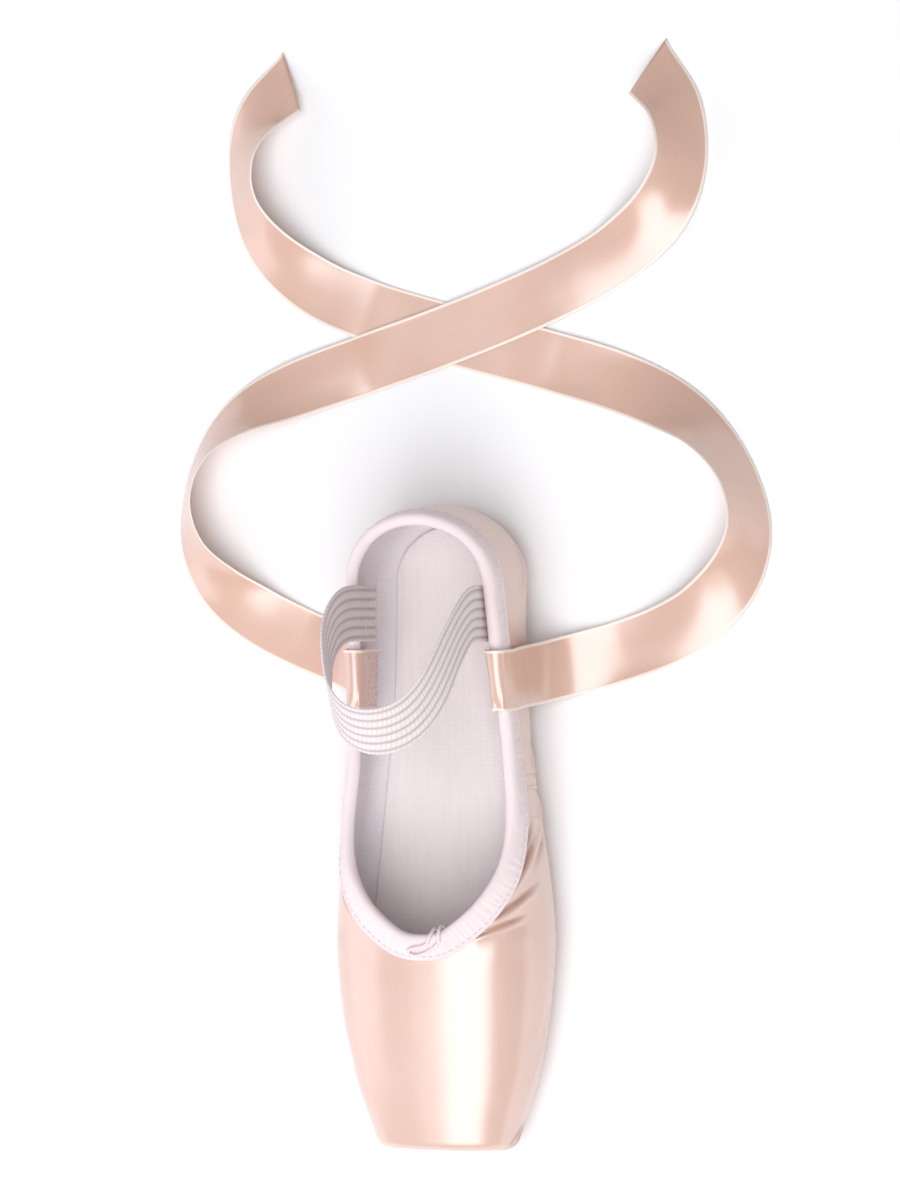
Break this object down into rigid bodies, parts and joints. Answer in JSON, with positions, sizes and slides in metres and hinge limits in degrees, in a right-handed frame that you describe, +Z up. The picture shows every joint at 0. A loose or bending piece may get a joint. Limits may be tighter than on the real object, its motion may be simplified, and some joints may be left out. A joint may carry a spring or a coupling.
{
  "type": "pointe shoe",
  "caption": "Satin pointe shoe with a pasted box and platform, thin leather sole, bound topline, ankle elastic and loose satin ribbons.",
  "frame": {"origin": "on the floor, midway between the platform and the back of the heel, on the shoe's middle plane", "axes": "+Y towards the heel, -Y towards the toe, +Z up, X across the shoe"},
  "size_m": [0.2241, 0.3938, 0.1075],
  "materials": {
    "satin": "glossy woven satin",
    "ribbon_satin": "glossy woven satin ribbon",
    "sole_leather": "suede side out",
    "lining_canvas": "plain cotton canvas",
    "cotton_tape": "matt cotton bias tape",
    "elastic_webbing": "ribbed woven elastic",
    "cord": "braided cotton cord"
  },
  "bodies": {
    "root": {"upper": "satin", "outsole": "sole_leather", "insole": "lining_canvas", "casing": "cotton_tape", "elastic": "elastic_webbing", "ribbon_right": "ribbon_satin", "ribbon_left": "ribbon_satin", "drawstring": "cord"}
  },
  "joints": []
}
